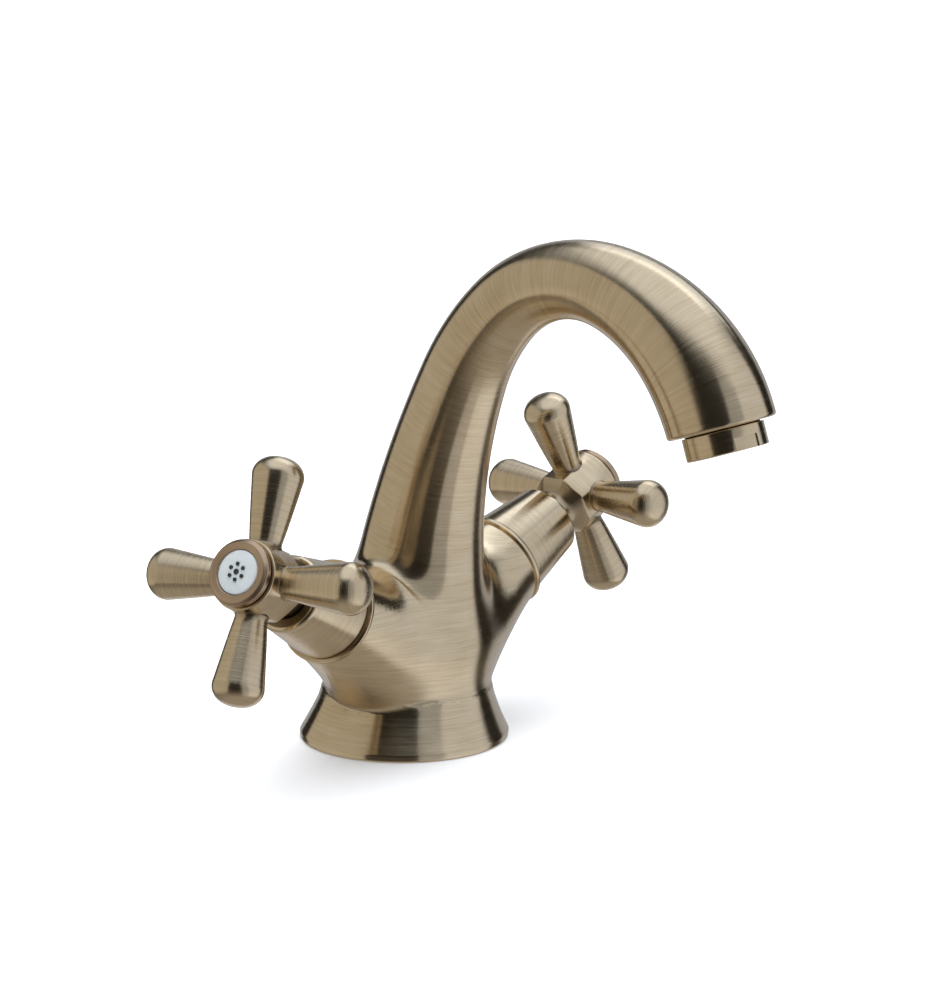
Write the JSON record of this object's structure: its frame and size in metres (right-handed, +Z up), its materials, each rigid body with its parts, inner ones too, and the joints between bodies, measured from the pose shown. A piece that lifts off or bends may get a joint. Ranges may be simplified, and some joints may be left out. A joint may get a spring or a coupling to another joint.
{
  "type": "bathroom mixer faucet",
  "caption": "Deck-mounted basin mixer tap with a flared round foot, a fixed swan-neck spout, cross handles on angled valves and an aerator.",
  "frame": {"origin": "centre of the foot's underside, where the tap stands on the basin", "axes": "+Z up, the spout reaches towards -Y, the hot valve is on -X and the cold valve on +X"},
  "size_m": [0.1692, 0.1409, 0.1378],
  "materials": {
    "antique_brass": "brushed antique brass with darker patina",
    "plain_brass": "machined",
    "bronze": "satin bronze",
    "white_enamel": "gloss enamel",
    "black_enamel": "gloss enamel",
    "steel": "stainless",
    "ceramic": "lapped ceramic",
    "white_plastic": "moulded",
    "rubber": "matt"
  },
  "bodies": {
    "tap_body": {"body": "antique_brass", "base_gasket": "rubber", "aerator_housing": "antique_brass", "aerator_washer": "rubber", "aerator_insert": "white_plastic", "aerator_screen": "steel", "hot_trim_ring": "antique_brass", "hot_valve_shroud": "antique_brass", "hot_cartridge_body": "plain_brass", "hot_seat_washer": "rubber", "hot_fixed_disc": "ceramic", "cold_trim_ring": "antique_brass", "cold_valve_shroud": "antique_brass", "cold_cartridge_body": "plain_brass", "cold_seat_washer": "rubber", "cold_fixed_disc": "ceramic"},
    "hot_handle": {"hot_moving_disc": "ceramic", "hot_spindle": "plain_brass", "hot_spindle_seal": "rubber", "hot_spindle_clip": "steel", "hot_handle_hub": "antique_brass", "hot_handle_screw": "steel", "hot_index_bezel": "bronze", "hot_index_disc": "white_enamel", "hot_index_mark": "black_enamel", "hot_handle_arm_top": "antique_brass", "hot_handle_arm_front": "antique_brass", "hot_handle_arm_bottom": "antique_brass", "hot_handle_arm_rear": "antique_brass"},
    "cold_handle": {"cold_moving_disc": "ceramic", "cold_spindle": "plain_brass", "cold_spindle_seal": "rubber", "cold_spindle_clip": "steel", "cold_handle_hub": "antique_brass", "cold_handle_screw": "steel", "cold_index_bezel": "bronze", "cold_index_disc": "white_enamel", "cold_index_mark": "black_enamel", "cold_handle_arm_top": "antique_brass", "cold_handle_arm_front": "antique_brass", "cold_handle_arm_bottom": "antique_brass", "cold_handle_arm_rear": "antique_brass"}
  },
  "joints": [
    {"name": "hot_turn", "type": "hinge", "parent": "tap_body", "child": "hot_handle", "pos_m": [-0.06715, -0.00825, 0.05605], "axis": [-0.8996, -0.1105, 0.4226], "range_deg": [0, 90]},
    {"name": "cold_turn", "type": "hinge", "parent": "tap_body", "child": "cold_handle", "pos_m": [0.06715, -0.00825, 0.05605], "axis": [0.8996, -0.1105, 0.4226], "range_deg": [-90, 0]}
  ]
}
